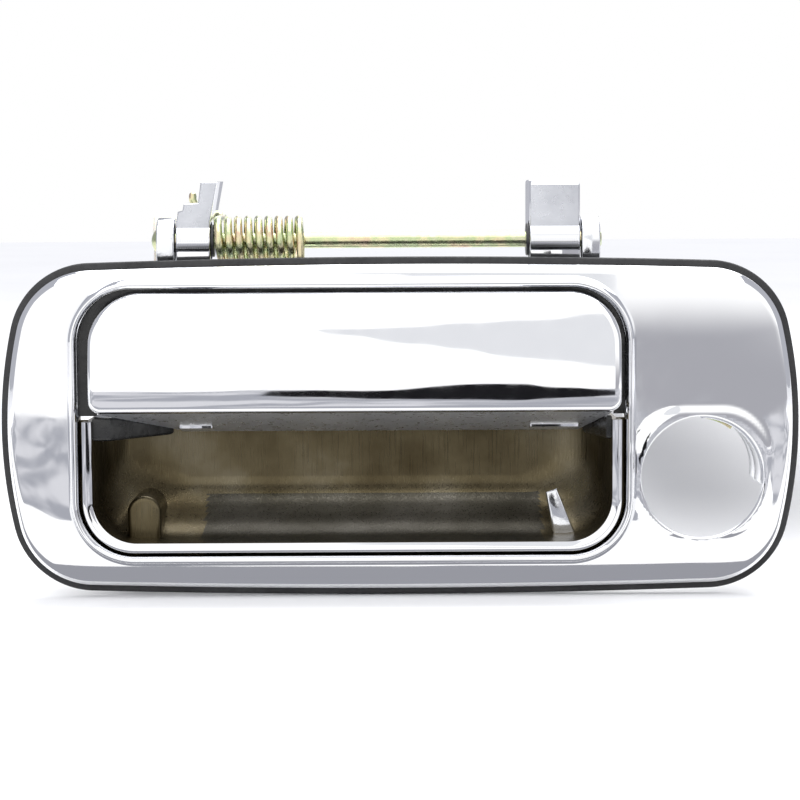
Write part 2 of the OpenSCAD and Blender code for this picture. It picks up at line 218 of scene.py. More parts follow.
# %% Helpers for node materials
def finish(name, colour, metallic=0.0, roughness=0.5, **sockets):
    """A Principled material. A value that is the same all over goes on the shader's own socket."""
    made = bpy.data.materials.new(name)
    made.use_nodes = True
    tree = made.node_tree
    shader = next(n for n in tree.nodes if n.type == "BSDF_PRINCIPLED")
    shader.inputs["Base Color"].default_value = (*colour, 1)
    shader.inputs["Metallic"].default_value = metallic
    shader.inputs["Roughness"].default_value = roughness
    for socket, value in sockets.items():
        shader.inputs[socket.replace("_", " ")].default_value = value
    return made


def pattern(made, scale, stretch=(1, 1, 1), detail=3.0):
    """The value of a noise pattern in Object coordinates, scale in waves per metre, stretched by axis."""
    tree = made.node_tree
    where = tree.nodes.new("ShaderNodeTexCoord")
    mapping = tree.nodes.new("ShaderNodeMapping")
    mapping.inputs["Scale"].default_value = stretch
    noise = tree.nodes.new("ShaderNodeTexNoise")
    noise.inputs["Scale"].default_value = scale
    noise.inputs["Detail"].default_value = detail
    tree.links.new(where.outputs["Object"], mapping.inputs["Vector"])
    tree.links.new(mapping.outputs["Vector"], noise.inputs["Vector"])
    return noise.outputs["Fac"]


def vary(made, value, socket, stops):
    """Drives a socket of the shader from a pattern through a ramp of (position, grey or colour) stops."""
    tree = made.node_tree
    ramp = tree.nodes.new("ShaderNodeValToRGB")
    marks = ramp.color_ramp.elements
    while len(marks) < len(stops):
        marks.new(0.5)
    for mark, (position, shade) in zip(marks, stops):
        mark.position = position
        mark.color = (*(shade if hasattr(shade, "__len__") else (shade,) * 3), 1)
    shader = next(n for n in tree.nodes if n.type == "BSDF_PRINCIPLED")
    tree.links.new(value, ramp.inputs["Fac"])
    tree.links.new(ramp.outputs["Color"], shader.inputs[socket])


def relief(made, value, depth, strength=1.0):
    """Raises the surface by a pattern, depth in metres; a second call adds to the first."""
    tree = made.node_tree
    shader = next(n for n in tree.nodes if n.type == "BSDF_PRINCIPLED")
    bump = tree.nodes.new("ShaderNodeBump")
    bump.inputs["Distance"].default_value = depth
    bump.inputs["Strength"].default_value = strength
    tree.links.new(value, bump.inputs["Height"])
    if shader.inputs["Normal"].is_linked:
        tree.links.new(shader.inputs["Normal"].links[0].from_socket, bump.inputs["Normal"])
    tree.links.new(bump.outputs["Normal"], shader.inputs["Normal"])

# %% [markdown]
# Four finishes come from the same casting: polished chrome on the show faces, chrome over an unpolished cast face,
# a sawn face on the levers, and a dull back where the plating is thin.

# %% Chrome
chrome = finish("mirror_chrome", (0.86, 0.865, 0.88), metallic=1.0, roughness=0.04)
vary(chrome, pattern(chrome, 260, detail=4), "Roughness", [(0.3, 0.025), (0.75, 0.075)])
relief(chrome, pattern(chrome, 42, detail=1), 0.00022)

cast_chrome = finish("cast_chrome", (0.8, 0.81, 0.83), metallic=1.0, roughness=0.12)
vary(cast_chrome, pattern(cast_chrome, 500, detail=4), "Roughness", [(0.3, 0.06), (0.75, 0.16)])
relief(cast_chrome, pattern(cast_chrome, 320, detail=3), 0.00004)

sawn_face = finish("sawn_face", (0.5, 0.51, 0.54), metallic=0.75, roughness=0.3)
vary(sawn_face, pattern(sawn_face, 140, detail=4), "Base Color",
     [(0.3, (0.46, 0.47, 0.5)), (0.7, (0.56, 0.57, 0.6))])
vary(sawn_face, pattern(sawn_face, 600, detail=4), "Roughness", [(0.3, 0.24), (0.7, 0.4)])
relief(sawn_face, pattern(sawn_face, 1.0, stretch=(200, 200, 2400), detail=1), 0.00001)

dull_back = finish("dull_back", (0.42, 0.43, 0.46), metallic=0.85, roughness=0.36)
vary(dull_back, pattern(dull_back, 60, detail=5), "Base Color",
     [(0.3, (0.34, 0.35, 0.38)), (0.7, (0.5, 0.51, 0.54))])
vary(dull_back, pattern(dull_back, 700, detail=4), "Roughness", [(0.3, 0.26), (0.7, 0.46)])
relief(dull_back, pattern(dull_back, 900, detail=3), 0.00006)
print("finishes of the casting:", chrome.name, cast_chrome.name, sawn_face.name, dull_back.name)

# %% [markdown]
# The cup is pressed from sheet and plated satin. Its brushing runs up and down, so the pattern is stretched that way,
# and the plating is a little warm where it is thin. Its colours are far darker than bare plating: painted shade for
# the inside of the recess.

# %% Satin cup
def brushed(name, shades):
    """A satin metal: three shades drift into each other, and its brushing runs up and down."""
    made = finish(name, shades[1], metallic=1.0, roughness=0.32)
    vary(made, pattern(made, 55, detail=5), "Base Color", list(zip((0.28, 0.5, 0.75), shades)))
    strokes = pattern(made, 1.0, stretch=(2600, 2600, 70), detail=2)
    vary(made, strokes, "Roughness", [(0.3, 0.22), (0.7, 0.42)])
    relief(made, pattern(made, 1.0, stretch=(3400, 3400, 60), detail=2), 0.00004, 0.7)
    relief(made, pattern(made, 120, detail=3), 0.00012, 0.8)
    return made


# Painted shade: these base colours are far darker than plated metal and stand for the shade inside the cup's recess.
satin = brushed("satin_cup_painted_shade", [(0.06, 0.046, 0.024), (0.11, 0.09, 0.052), (0.18, 0.158, 0.11)])
# Painted shade: the floor panel's colours are darker still, for the bottom of the recess.
floor_panel_painted_shade = brushed("floor_panel_painted_shade", [(0.03, 0.027, 0.02), (0.052, 0.048, 0.038), (0.08, 0.075, 0.064)])
print("finishes of the cup:", satin.name, floor_panel_painted_shade.name)

# %% [markdown]
# Yellow passivation is a film thin enough to show interference colours, so the wire and the pin drift between
# straw, green and pink.

# %% Yellow zinc
yellow_zinc = finish("yellow_zinc", (0.74, 0.68, 0.42), metallic=1.0, roughness=0.2)
vary(yellow_zinc, pattern(yellow_zinc, 210, detail=3), "Base Color",
     [(0.3, (0.66, 0.5, 0.36)), (0.44, (0.7, 0.65, 0.4)), (0.56, (0.5, 0.58, 0.33)), (0.72, (0.7, 0.66, 0.48))])
vary(yellow_zinc, pattern(yellow_zinc, 700, detail=3), "Roughness", [(0.3, 0.14), (0.7, 0.3)])
relief(yellow_zinc, pattern(yellow_zinc, 900, detail=2), 0.00003)
print("finish of the wire and the pin:", yellow_zinc.name)

# %% [markdown]
# The remaining finishes are plain ones. Each still has its own fine relief and an uneven gloss, because a moulded or
# turned surface is never quite even.

# %% Steel, rubber and plastics
steel = finish("plain_steel", (0.6, 0.61, 0.64), metallic=1.0, roughness=0.28)
vary(steel, pattern(steel, 900, detail=4), "Roughness", [(0.3, 0.2), (0.7, 0.42)])
relief(steel, pattern(steel, 1500, detail=2), 0.00003)

gasket_rubber = finish("gasket_rubber", (0.012, 0.012, 0.013), roughness=0.55)
vary(gasket_rubber, pattern(gasket_rubber, 900, detail=4), "Roughness", [(0.3, 0.42), (0.7, 0.7)])
vary(gasket_rubber, pattern(gasket_rubber, 90, detail=4), "Base Color",
     [(0.3, (0.008, 0.008, 0.009)), (0.75, (0.022, 0.022, 0.023))])
relief(gasket_rubber, pattern(gasket_rubber, 2200, detail=2), 0.00004)

# The same black also serves the painted-shade sheet behind the paddle gap.
stop_rubber = finish("stop_rubber", (0.01, 0.01, 0.01), roughness=0.2)
vary(stop_rubber, pattern(stop_rubber, 300, detail=4), "Roughness", [(0.3, 0.14), (0.7, 0.34)])
relief(stop_rubber, pattern(stop_rubber, 160, detail=3), 0.0002)

bush_plastic = finish("bush_plastic", (0.03, 0.03, 0.032), roughness=0.4)
vary(bush_plastic, pattern(bush_plastic, 800, detail=4), "Roughness", [(0.3, 0.3), (0.7, 0.5)])
relief(bush_plastic, pattern(bush_plastic, 1400, detail=2), 0.00003)

nylon = finish("clip_nylon", (0.8, 0.77, 0.67), roughness=0.42, Subsurface_Weight=0.1)
vary(nylon, pattern(nylon, 130, detail=4), "Base Color",
     [(0.3, (0.76, 0.72, 0.6)), (0.7, (0.84, 0.81, 0.72))])
relief(nylon, pattern(nylon, 1200, detail=2), 0.00004)
print(len(bpy.data.materials), "materials")

# %% [markdown]
# ## The bezel
# The casting's edge is a bowed rounded rectangle and its opening a plain one. Both are drawn as eight stretches with
# the same number of points, so that a straight blend from one to the other fills the face between them.
#
# The face falls away to its edge in two curves: a tight one at the rim and a wide, shallow one that makes
# the whole front gently crowned. A bead stands up round the opening, and a low pad surrounds the lock.

# %% Outlines
_, gasket_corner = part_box("gasket")
HALF_W, _, HALF_H = np.array(gasket_corner) / MM
CORNER_R, END_BOW, LONG_BOW = 20.6, 115.0, 2500.0
SHOW = 1.7
OPEN_X, OPEN_Z, OPEN_R = (-79.6, 55.7), (-31.5, 34.9), 13.5
SIDE, CORNER, LONG = 60, 44, 90


def bow_centre(angle):
    """Distance out to the centre of a corner arc that touches the end bow at this angle."""
    return HALF_W - END_BOW + (END_BOW - CORNER_R) * math.cos(angle)


rough_x = bow_centre(math.asin((HALF_H - CORNER_R) / (END_BOW - CORNER_R)))
corner_z = HALF_H - LONG_BOW + math.sqrt((LONG_BOW - CORNER_R) ** 2 - rough_x**2)
END_ANGLE = math.degrees(math.asin(corner_z / (END_BOW - CORNER_R)))
corner_x = bow_centre(math.radians(END_ANGLE))
LONG_ANGLE = math.degrees(math.acos(corner_x / (LONG_BOW - CORNER_R)))
END_C = (HALF_W - END_BOW, 0.0)
CORNER_C = (corner_x, corner_z)
LONG_C = (0.0, corner_z - (LONG_BOW - CORNER_R) * math.sin(math.radians(LONG_ANGLE)))


def sweep(centre, radius, start, end, n):
    """n points of an arc, without its last."""
    a = np.radians(start + (end - start) * np.arange(n) / n)
    return np.stack([centre[0] + radius * np.cos(a), centre[1] + radius * np.sin(a)], -1)


def line(p, q, n):
    """n points of a straight line, without its last."""
    return np.array(p, float) + (np.array(q, float) - p) * (np.arange(n) / n)[:, None]


def edge_ring(grow):
    """The casting's edge moved out by grow: arcs of the end, corner and long bows in turn, from the right side
    upwards. Every radius grows by the same amount."""
    end, corner, long = END_BOW + grow, CORNER_R + grow, LONG_BOW + grow
    (cx, cz), (ex, _), (_, lz) = CORNER_C, END_C, LONG_C
    e, l = END_ANGLE, LONG_ANGLE
    return np.concatenate([
        sweep((ex, 0), end, -e, e, SIDE), sweep((cx, cz), corner, e, l, CORNER),
        sweep((0, lz), long, l, 180 - l, LONG), sweep((-cx, cz), corner, 180 - l, 180 - e, CORNER),
        sweep((-ex, 0), end, 180 - e, 180 + e, SIDE), sweep((-cx, -cz), corner, 180 + e, 180 + l, CORNER),
        sweep((0, -lz), long, 180 + l, 360 - l, LONG), sweep((cx, -cz), corner, 360 - l, 360 - e, CORNER)])


def rounded_ring(xs, zs, r_low, r_up, grow=0.0):
    """A rounded rectangle moved out by grow: four straight sides and four quarter circles, in the same order."""
    (x0, x1), (z0, z1) = xs, zs
    low_r, up_r = max(r_low + grow, 0.05), max(r_up + grow, 0.05)
    right, left, top, bottom = x1 + grow, x0 - grow, z1 + grow, z0 - grow
    return np.concatenate([
        line((right, bottom + low_r), (right, top - up_r), SIDE),
        sweep((right - up_r, top - up_r), up_r, 0, 90, CORNER),
        line((right - up_r, top), (left + up_r, top), LONG),
        sweep((left + up_r, top - up_r), up_r, 90, 180, CORNER),
        line((left, top - up_r), (left, bottom + low_r), SIDE),
        sweep((left + low_r, bottom + low_r), low_r, 180, 270, CORNER),
        line((left + low_r, bottom), (right - low_r, bottom), LONG),
        sweep((right - low_r, bottom + low_r), low_r, 270, 360, CORNER)])


def opening_ring(grow):
    """The casting's opening moved out by grow."""
    return rounded_ring(OPEN_X, OPEN_Z, OPEN_R, OPEN_R, grow)


print("half size of the gasket, mm:", round(HALF_W, 2), round(HALF_H, 2), "outline points:", len(edge_ring(0)))

# %% [markdown]
# ### How high the face stands
# Height is a function of where a point lies inside the outline. Writing it once lets the front, the back wall and the
# foot of the bead agree with each other.

# %% Height of the face
RIM_H, RIM_RISE, RIM_W = 2.4, 1.9, 2.4
CROWN_RISE, CROWN_W = 2.1, 18.0
LOCK, LOCK_R = np.array([75.0, -12.6]), 15.25
PAD_C, PAD_HALF, PAD_R, PAD_RISE, PAD_W = np.array([75.2, -11.5]), np.array([17.5, 17.0]), 13.0, 0.5, 2.0


def depth_in(p):
    """Distance in from the casting's edge: the least of the distances to the bows that face p."""
    x, z = np.abs(p[..., 0]), np.abs(p[..., 1])
    found = np.full(x.shape, 1e9)
    bows = ((END_C, END_BOW, -1, END_ANGLE), (CORNER_C, CORNER_R, END_ANGLE, LONG_ANGLE),
            (LONG_C, LONG_BOW, LONG_ANGLE, 91))
    for centre, radius, a0, a1 in bows:
        dx, dz = x - centre[0], z - centre[1]
        a = np.degrees(np.arctan2(dz, dx))
        found = np.where((a >= a0) & (a <= a1), np.minimum(found, radius - SHOW - np.hypot(dx, dz)), found)
    return np.maximum(found, 0)


def pad_height(p):
    """The lock's pad: full height inside a rounded square, falling along a smooth S within PAD_W of its edge."""
    q = np.abs(p - PAD_C) - (PAD_HALF - PAD_R)
    out = np.linalg.norm(np.maximum(q, 0), axis=-1) + np.minimum(q.max(-1), 0) - PAD_R
    t = np.clip(-out / PAD_W, 0, 1)
    return PAD_RISE * t * t * (3 - 2 * t)


def face_height(p):
    """Quarter ellipse at the rim, then a parabola that levels out, then the lock's pad."""
    d = depth_in(p)
    rim, crown = np.clip(d / RIM_W, 0, 1), np.clip(d / CROWN_W, 0, 1)
    return RIM_H + RIM_RISE * np.sqrt(1 - (1 - rim) ** 2) + CROWN_RISE * (1 - (1 - crown) ** 2) + pad_height(p)


print("height of the face under the lock's middle, mm:", round(float(face_height(LOCK)), 2))

# %% [markdown]
# ### The skin
# One grid wraps the whole casting: the bead, the face, the rim and the back wall are its rows, and they close into a
# ring. Points inside the lock hole are moved out to its circle, so that the hole comes out round.

# %% The casting's skin
BEAD_W, BEAD_INNER, BEAD_RISE = 2.75, 6.8, 1.9
WALL, BACK_WALL, THICK = 2.2, 1.8, 2.2
FACE_ROWS, BACK_ROWS, BEAD_ROWS = 56, 22, 17

s = np.linspace(0, BEAD_W, BEAD_ROWS)[:, None]
share = s / BEAD_W
foot = face_height(opening_ring(BEAD_W))[None]
bead_flat = np.stack([opening_ring(g) for g in s[:, 0]])
bead_h = BEAD_INNER + (foot - BEAD_INNER) * share + BEAD_RISE * np.sin(np.pi * share) ** 0.8
v = (1 - (1 - np.linspace(0, 1, FACE_ROWS)) ** 1.3)[1:, None, None]
face_flat = (1 - v) * opening_ring(BEAD_W) + v * edge_ring(-SHOW)
w = np.linspace(0, 1, BACK_ROWS)[:, None, None]
back_flat = (1 - w) * edge_ring(-SHOW - WALL) + w * opening_ring(BACK_WALL)


def cut_hole(flat, radius):
    """True inside a circle round the lock, and the grid with those points moved out to the circle."""
    away = flat - LOCK
    r = np.linalg.norm(away, axis=-1, keepdims=True)
    return (r < radius)[..., 0], np.where(r < radius, LOCK + away * radius / np.maximum(r, 1e-6), flat)


front_cut, face_flat = cut_hole(face_flat, LOCK_R + 0.45)
back_cut, back_flat = cut_hole(back_flat, LOCK_R + 1.6)
cols = face_flat.shape[1]
one_row = np.ones((1, cols))
RIM_FOOT, LIP_BACK = 1.5, 0.5
flat = np.concatenate([opening_ring(0)[None], bead_flat, face_flat, edge_ring(-SHOW)[None],
                       edge_ring(-SHOW - 0.3)[None], back_flat, opening_ring(BACK_WALL)[None]])
height = np.concatenate([LIP_BACK * one_row, bead_h, face_height(face_flat), 1.7 * one_row, RIM_FOOT * one_row,
                         np.maximum(face_height(back_flat) - THICK, RIM_FOOT), LIP_BACK * one_row])
height[-1 - BACK_ROWS] = RIM_FOOT
FRONT_ROWS = slice(1 + BEAD_ROWS, BEAD_ROWS + FACE_ROWS)
WALL_ROWS = slice(len(height) - 1 - BACK_ROWS, len(height) - 1)
inside = np.zeros(height.shape, bool)
inside[FRONT_ROWS], inside[WALL_ROWS] = front_cut, back_cut
points, quads = sheet(np.stack([flat[..., 0], -height, flat[..., 1]], -1), wrap_rows=True, wrap_cols=True)
quads = np.array(quads)
removed = inside.reshape(-1)[quads].all(1)
kept, cut = quads[~removed], quads[removed]
print("skin:", len(kept), "cells kept,", len(cut), "cut out for the lock")

# %% [markdown]
# ### The lock hole's wall
# The hole's edge is made of the points that kept and cut cells share. The front edge turns over into a straight wall,
# and a band of triangles joins that wall to the hole in the back, which is larger and has another number of points.

# %% The lock hole's wall
def hole_rim(rows):
    """The points of some rows that both a kept and a cut cell use, in order round the lock."""
    by_kept, by_cut, picked = (np.zeros(height.shape, bool) for _ in range(3))
    by_kept.reshape(-1)[kept.reshape(-1)] = True
    by_cut.reshape(-1)[cut.reshape(-1)] = True
    picked[rows] = True
    rim = points[(by_kept & by_cut & picked).reshape(-1)]
    return rim[np.argsort(round_angle(rim))]


def round_angle(ring):
    """Each point's angle round the lock's middle."""
    return np.arctan2(ring[:, 2] - LOCK[1], ring[:, 0] - LOCK[0])


def zip_up(a, b):
    """Closes the band between two rings with different counts. Walking round by angle, each step along one ring makes
    a triangle with the point last passed on the other."""
    angle_a, angle_b = round_angle(a), round_angle(b)
    k, j = np.arange(len(a)), np.arange(len(b))
    on_b = (np.searchsorted(angle_b, np.roll(angle_a, -1), "right") - 1) % len(b)
    on_a = (np.searchsorted(angle_a, np.roll(angle_b, -1), "left") - 1) % len(a)
    along_a = np.stack([k, (k + 1) % len(a), on_b + len(a)], -1)
    along_b = np.stack([j + len(a), (j + 1) % len(b) + len(a), on_a], -1)
    return np.concatenate([a, b]), along_a.tolist() + along_b.tolist()


rim = hole_rim(FRONT_ROWS)
round_lock = unit(rim[:, [0, 2]] - LOCK)
wall_rows = [rim]
WALL_END = -4.3
for radius, sink in ((LOCK_R + 0.13, 0.12), (LOCK_R, 0.45), (LOCK_R, None)):
    y = rim[:, 1] + sink if sink else np.full(len(rim), WALL_END)
    at = LOCK + round_lock * radius
    wall_rows.append(np.stack([at[:, 0], y, at[:, 1]], -1))
skin = (points, kept.tolist())
lock_wall = sheet(np.stack(wall_rows), wrap_cols=True)
lock_back = zip_up(wall_rows[-1], hole_rim(WALL_ROWS))
print("lock rim:", len(rim), "points")

# %% [markdown]
# Behind the face are the cast features: two lugs for the hinge pin, a boss for each fixing bolt, small bosses for the
# cup's screws, a part collar round the lock and an upstand that the spring pushes on. The lugs keep the flat facets
# that the trimming tool left.

# %% Lugs, bosses and collar
PIN = np.array([9.0, 46.2])
LUG_R = 5.9
LEFT_LUG, RIGHT_LUG = (-60.8, -56.3), (45.7, 50.3)
COLLAR_R = (14.55, 17.25)
BOSSES = [(-87.8, 16.0), (87.8, 16.0)]
SCREWS = [(-60, -35.1), (-12, -35.1), (36, -35.1), (-87.4, -8)]


def lug(xs):
    """A lug between two x values: flat facets round the pin, on a foot behind the casting's upper edge."""
    facets = np.radians([-28, 12, 48, 84, 118, 152, 186])
    head = [tuple(PIN + LUG_R * np.array([math.cos(a), math.sin(a)])) for a in facets]
    return plate(head + [(4.7, 38.2), (2.0, 37.3), (-4.4, 37.2), (-4.4, 35.0), (14.6, 35.0)], *xs, edge=0.45)


def collar(a0, a1, y0, y1):
    """A stretch of a thick ring: an inner and an outer arc joined at their ends."""
    section = np.concatenate([sweep(LOCK, COLLAR_R[1], a0, a1, 24), sweep(LOCK, COLLAR_R[0], a1, a0, 24)])
    return plate(section, y0, y1, "y", edge=0.25)


cast = [lug(LEFT_LUG), lug(RIGHT_LUG), collar(-11, 90, -4.6, 5.4), collar(-11, 90, 6.4, 14),
        collar(-11, 50, 5.2, 6.6), collar(84, 89.6, 5.2, 6.6),
        plate([(-4, 35.0), (5.9, 35.0), (5.9, 36.5), (2.5, 36.5), (2.5, 37.7), (1, 37.7), (1, 37.3), (-4, 37.3)],
              -28, -21, edge=0.25)]
bolt_boss = [(3.9, -1.9), (3.9, 7.8), (4.1, 8), (4.25, 8), (4.5, 7.7), (4.5, -5), (3.9, -5)]
screw_boss = [(0, -4.2), (2.2, -4.2), (2.2, -0.4), (2.0, -0.2), (0, -0.2)]
cast += [lathe(bolt_boss, spot, "y", hollow=True) for spot in BOSSES]
cast += [lathe(screw_boss, spot, "y", 32) for spot in SCREWS]
bezel = piece("bezel_casting", [skin, lock_wall, lock_back], chrome, ["bezel"], sharp=32)
second_finish(bezel, dull_back, lambda centre, normal: normal[:, 1] > 0.2)
cast_parts = piece("bezel_lugs_and_bosses", cast, cast_chrome)
second_finish(cast_parts, dull_back, lambda centre, normal: normal[:, 1] > 0.5)

# %% [markdown]
# ## Gasket and the painted shade behind the paddle gap
# The gasket is a moulded band with a rounded outer edge that shows as a black line round the casting.
# A black sheet closes the gap round the paddle from behind, so that gap looks dark: it is painted shade.

# %% Gasket, painted-shade sheet and stops
profile = [(-4, -1.45), (-3.9, -1.5), (-0.7, -1.5), (-0.25, -1.38), (-0.05, -1.1), (0, -0.75), (-0.05, -0.35),
           (-0.3, -0.08), (-0.7, 0), (-3.9, 0), (-4, -0.05)]
rows = np.stack([np.insert(edge_ring(g), 1, y, axis=1) for g, y in profile])
piece("gasket_band", [sheet(rows, wrap_rows=True, wrap_cols=True)], gasket_rubber, ["gasket"])

# Painted shade: a black sheet behind the gap round the paddle, standing in for the shade there.
GAP_SHADE_Z0, GAP_SHADE_LEFT, GAP_SHADE_W = 3.2, 4.2, 2.6
arch = opening_ring(0)
mouth_x, mouth_z = (OPEN_X[0] + GAP_SHADE_LEFT, OPEN_X[1] - GAP_SHADE_W), (GAP_SHADE_Z0 - 10, OPEN_Z[1] - GAP_SHADE_W)
mouth = rounded_ring(mouth_x, mouth_z, 2, OPEN_R - GAP_SHADE_W)
arch[:, 1], mouth[:, 1] = np.maximum(arch[:, 1], GAP_SHADE_Z0), np.maximum(mouth[:, 1], GAP_SHADE_Z0)
arch_end = SIDE + 2 * CORNER + LONG + SIDE
lip_rows = [(arch, -2.6), (arch, -3.6), (arch * 0.3 + mouth * 0.7, -3.6), (mouth, -3.35), (mouth, -2.85),
            (arch * 0.3 + mouth * 0.7, -2.6)]
lip = np.stack([np.insert(ring[:arch_end], 1, y, axis=1) for ring, y in lip_rows])
points, faces = sheet(lip, wrap_rows=True)
ends = [[k * arch_end + last for k in range(len(lip_rows))] for last in (0, arch_end - 1)]
piece("paddle_gap_shade_sheet", [(points, faces + ends)], stop_rubber, ["paddle_seal"])

left = [(-76.5, -4.8), (-72, -4.8), (-57.6, 9.8), (-76.5, 9.8)]
right = [(52.6, -4.8), (51.2, -4.8), (46.4, 9.8), (52.6, 9.8)]
piece("left_stop", [plate(left, -3, 3, "z", edge=0.8, steps=6)], stop_rubber, ["left_bump_stop"])
piece("right_stop", [plate(right, -3, 3, "z", edge=0.8, steps=6)], stop_rubber, ["right_bump_stop"])

# %% [markdown]
# ## Finger cup
# The cup is a pressed tray: round U-shaped sections that draw in as they go back, then turn into the back wall
# through a wide fillet. Stations along its depth give each section's size, and a smooth curve runs through them.
# The sheet's outer side is the inner one moved out along its normals by the gauge of the metal.

# %% Cup sections
CUP_X, CUP_Z0, CUP_BACK = (-78.9, 55.0), -30.8, 22.4


def through(stations, t):
    """A smooth curve through equally spaced stations: on each span, a cubic with its ends' slopes."""
    k = np.asarray(stations, float)
    slope = np.gradient(k, axis=0)
    i = np.clip(t.astype(int), 0, len(k) - 2)
    f = (t - i)[:, None]
    a, b, m, n = k[i], k[i + 1], slope[i], slope[i + 1]
    return a * (2 * f**3 - 3 * f**2 + 1) + m * (f**3 - 2 * f**2 + f) + b * (3 * f**2 - 2 * f**3) + n * (f**3 - f**2)


def u_section(inset, z0, r, top, n=(26, 22, 80)):
    """Down the left side, round the corner, along the floor, round the corner and up the right side."""
    x0, x1 = CUP_X[0] + inset, CUP_X[1] - inset
    up, bend, floor = n
    return np.concatenate([
        line((x0, top), (x0, z0 + r), up), sweep((x0 + r, z0 + r), r, 180, 270, bend),
        line((x0 + r, z0), (x1 - r, z0), floor), sweep((x1 - r, z0 + r), r, 270, 360, bend),
        line((x1, z0 + r), (x1, top), up), [(x1, top)]])

# %% Cup wall
# Each station holds depth, inset, floor height, corner radius and upper edge.
stations = [(-6.9, 2.4, -28.4, 11.0, 2.0), (-2, 2.5, -28.35, 11.0, 2.0), (4, 2.8, -28.1, 11.2, 2.0),
            (10, 3.4, -25.6, 11.8, 2.0), (15, 5.0, -23.4, 12.5, 0.6), (19, 8.0, -21.0, 12.5, -1.0),
            (21.6, 12.0, -18.2, 11.5, -1.5), (22.4, 17.0, -15.4, 9.0, -1.5), (22.4, 26.0, -12.8, 7.0, -1.5),
            (22.4, 45.0, -8.0, 4.0, -1.5), (22.4, 66.95, -3.5, 0.0005, -1.5)]
t = np.concatenate([np.linspace(0, 8, 65), [9, 10]])
depth, inset, floor, bend, top = through(stations, t).T
depth = np.minimum(depth, CUP_BACK)
inner = np.stack([np.insert(u_section(i, f, r, e), 1, y, axis=1)
                  for y, i, f, r, e in zip(depth, inset, floor, bend, top)])
normal = np.cross(np.gradient(inner, axis=0), np.gradient(inner, axis=1))
normal /= np.maximum(np.linalg.norm(normal, axis=-1, keepdims=True), 1e-9)
normal[-14:] = (0, 1, 0)
if normal[4, 150, 2] > 0:
    normal[:-14] *= -1
gauge = np.interp(t, [0, 0.4, 1.2, 10], [0.9, 0.9, 1.6, 1.6])[:, None, None]
outer = inner + normal * gauge
outer[..., 2] = np.where(inner[..., 2] >= top[:, None] - 1e-6, inner[..., 2], outer[..., 2])
print("cup wall:", len(inner), "sections of", inner.shape[1], "points")

# %% [markdown]
# The cup's front is a folded lip with two narrow facets, polished like the bezel. A flange behind it closes the seam,
# and ears carry the screws. A panel on the floor is darker still, as painted shade at the bottom of the recess.

# %% Cup lip, flange and ears
LIP_R = OPEN_R - 0.7


def lip_row(i, y, r, top=2.0):
    """The cup's outline at inset i and depth y, with its floor raised by the inset."""
    return np.insert(u_section(i, CUP_Z0 + i, r, top), 1, y, axis=1)


lip_line = [(0.0, -6.5), (0.1, -7.0), (0.9, -7.4), (1.15, -7.4), (2.1, -7.0)]
lip_rows = [lip_row(i, y, LIP_R - i * 0.9) for i, y in lip_line]
back_of_lip = lip_row(0.3, -4.2, OPEN_R - 1.0)
loops = np.concatenate([outer[::-1][:-3], [back_of_lip], lip_rows, inner])
points, faces = sheet(loops)
n = loops.shape[1]
outside = len(outer) - 3
seam = [[i * n, (i + 1) * n, (len(loops) - 2 - i) * n, (len(loops) - 1 - i) * n] for i in range(outside)]
seam.append([k * n for k in range(outside, len(loops) - outside)])
seam += [[q + n - 1 for q in face] for face in seam]
boss = np.concatenate([sweep((-64.6, -22.0), 4.3, 0, 180, 20), [(-68.9, -30), (-60.3, -30)]])
boss = plate(boss, 1.5, 19, "y", edge=1.3, steps=7)
strip = plate([(36.8, -17.6), (39.6, -16.6), (44.6, -28.9), (38.8, -28.9)], 4.5, 17, "y", edge=0.5)
ears = [[(x - 4, -37.3), (x + 4, -37.3), (x + 4, -29.4), (x - 4, -29.4)] for x, _ in SCREWS[:3]]
ears.append([(-90.8, -12), (-77.4, -12), (-77.4, -4), (-90.8, -4)])
ears = [plate(ear, -0.2, 1.2, "y", edge=0.3) for ear in ears]
flange_line = [(-1.4, -0.2), (-1.4, 0.6), (1.1, 0.6), (1.1, -0.2)]
rows = np.stack([lip_row(i, y, LIP_R - i, 1.9) for i, y in flange_line])
band, band_faces = sheet(rows, wrap_rows=True)
band_faces += [[k * n for k in range(4)], [k * n + n - 1 for k in range(4)]]
cup_parts = [(points, faces + seam), (band, band_faces), boss, *ears]
cup = piece("finger_cup_tray", cup_parts, satin, ["finger_cup"], sharp=30)
second_finish(cup, chrome, lambda centre, normal: centre[:, 1] < -6.6)


def in_floor_panel_shade(centre, normal):
    """The floor panel behind the lip, which gets the darker painted shade."""
    x, y, z = centre.T
    return (np.abs(x + 7) < 43) & (z < -19.5) & (y > -5)


# Painted shade: the floor panel behind the lip gets the darker satin.
second_finish(cup, floor_panel_painted_shade, in_floor_panel_shade)
piece("finger_cup_drain_rib", [strip], cast_chrome)

# %% [markdown]
# ## Paddle
# The grip is a shell with a convex face. In section the face is part of a sine wave, so it rolls from the sky to the
# floor and its reflections stretch into level bands. Its rim is a quarter ellipse that catches a bright line.

# %% Paddle shell
PADDLE_X, PADDLE_Z = (-76.4, 54.3), (4.6, 33.9)
EDGE_Y, BELLY, SKIN = 9.4, 4.8, 1.5


def grip_y(z):
    """The face's distance in front of the door: its edge, and a sine that peaks low down."""
    share = np.clip((PADDLE_Z[1] - z) / (PADDLE_Z[1] - PADDLE_Z[0]), 0, 1)
    return -EDGE_Y - BELLY * np.sin(np.radians(115 * share))


def grip_ring(inset):
    """The grip's outline drawn in by an inset."""
    return rounded_ring(PADDLE_X, PADDLE_Z, 3.0, 12.5, -inset)


